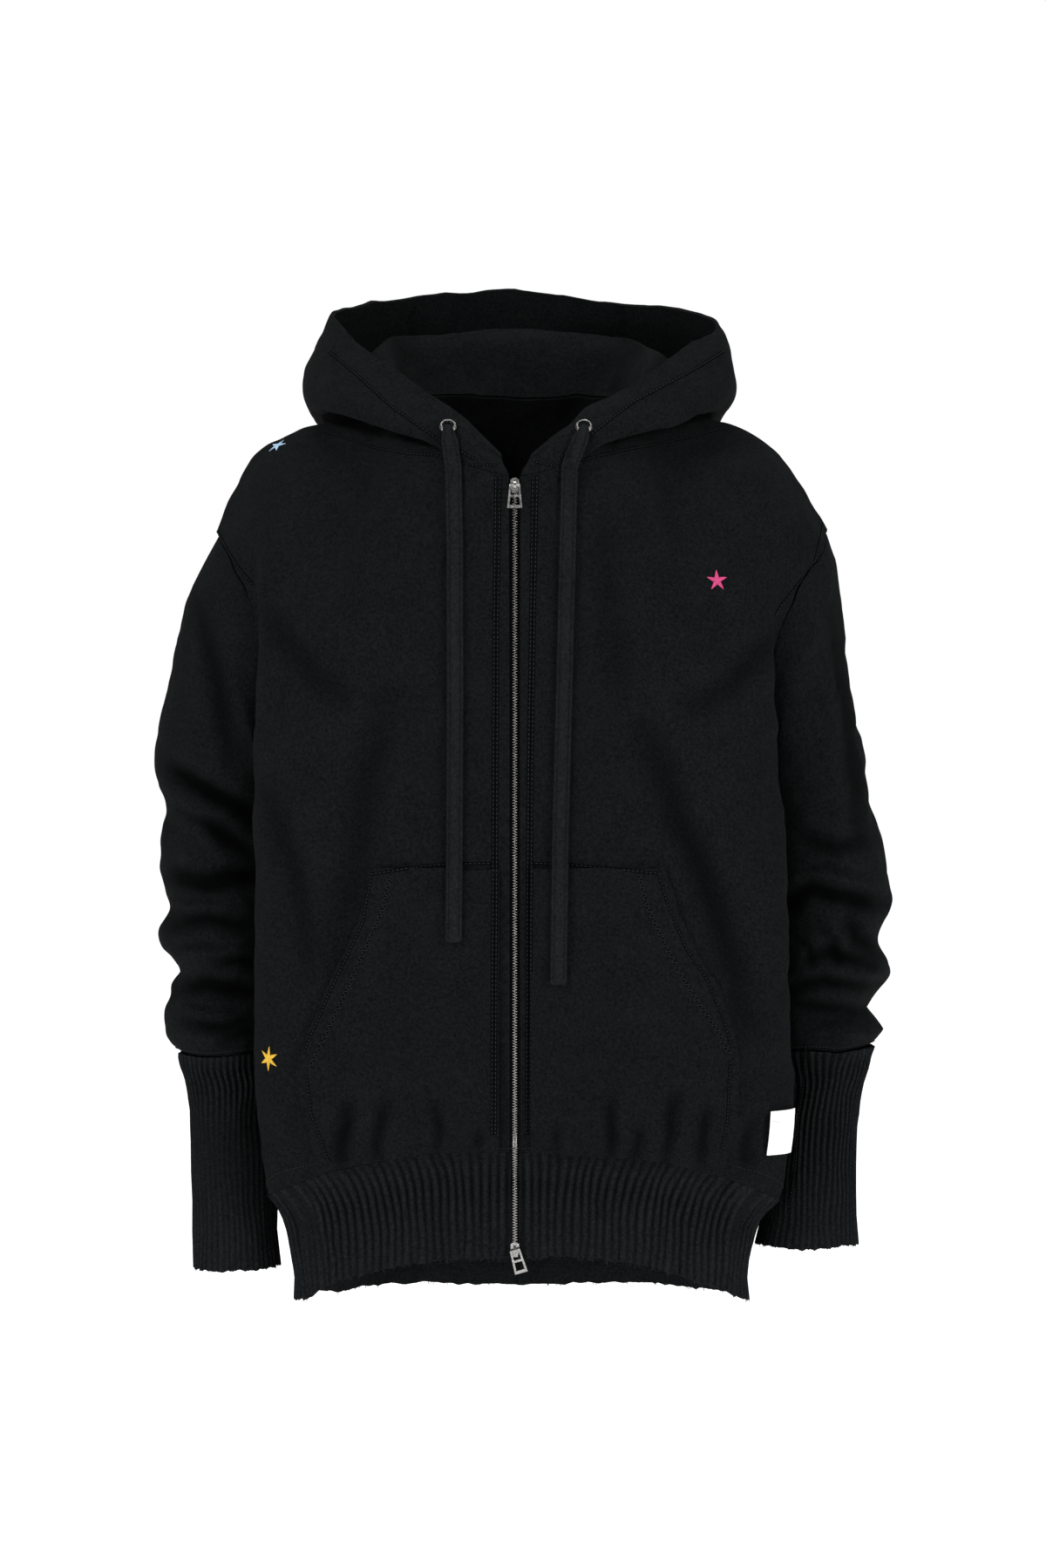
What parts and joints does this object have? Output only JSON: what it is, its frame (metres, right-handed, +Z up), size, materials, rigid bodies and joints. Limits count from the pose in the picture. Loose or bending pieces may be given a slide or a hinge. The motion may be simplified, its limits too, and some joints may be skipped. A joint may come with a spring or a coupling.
{
  "type": "zip up hoodie",
  "caption": "Black fleece hoodie worn open-necked, with a two-way zip, hood down, kangaroo pocket halves, flat drawcords and long ribbed cuffs and hem.",
  "frame": {"origin": "middle of the neck opening, level with the neck seam at the shoulders, where the wearer holds the garment", "axes": "+Z up, the front faces -Y, +X to the wearer's left"},
  "size_m": [0.6357, 0.347, 0.8743],
  "materials": {
    "fleece": "black cotton fleece, fine knit face",
    "rib": "black chunky cotton rib",
    "cord": "black flat knitted cord",
    "tape": "black woven zip tape",
    "silver": "polished nickel",
    "label": "white woven label"
  },
  "bodies": {
    "garment": {"front_right": "fleece", "front_left": "fleece", "back": "fleece", "sleeve_right": "fleece", "sleeve_left": "fleece", "hood_right": "fleece", "hood_left": "fleece", "pocket_right": "fleece", "pocket_left": "fleece", "hem_rib": "rib", "cuff_right": "rib", "cuff_left": "rib", "drawcord_right": "cord", "drawcord_left": "cord", "zip_tape_right": "tape", "zip_tape_left": "tape", "zip_chain": "silver", "slider_top": "silver", "slider_bottom": "silver", "eyelet_right": "silver", "eyelet_left": "silver", "side_label": "label"},
    "top_pull": {"pull_top": "silver"},
    "bottom_pull": {"pull_bottom": "silver"}
  },
  "joints": [
    {"name": "top_pull_swing", "type": "hinge", "parent": "garment", "child": "top_pull", "pos_m": [0, -0.14296, -0.086], "axis": [-1, 0, 0], "range_deg": [0, 150]},
    {"name": "bottom_pull_swing", "type": "hinge", "parent": "garment", "child": "bottom_pull", "pos_m": [0, -0.11792, -0.712], "axis": [-0.9613, 0, -0.2756], "range_deg": [0, 150]}
  ]
}
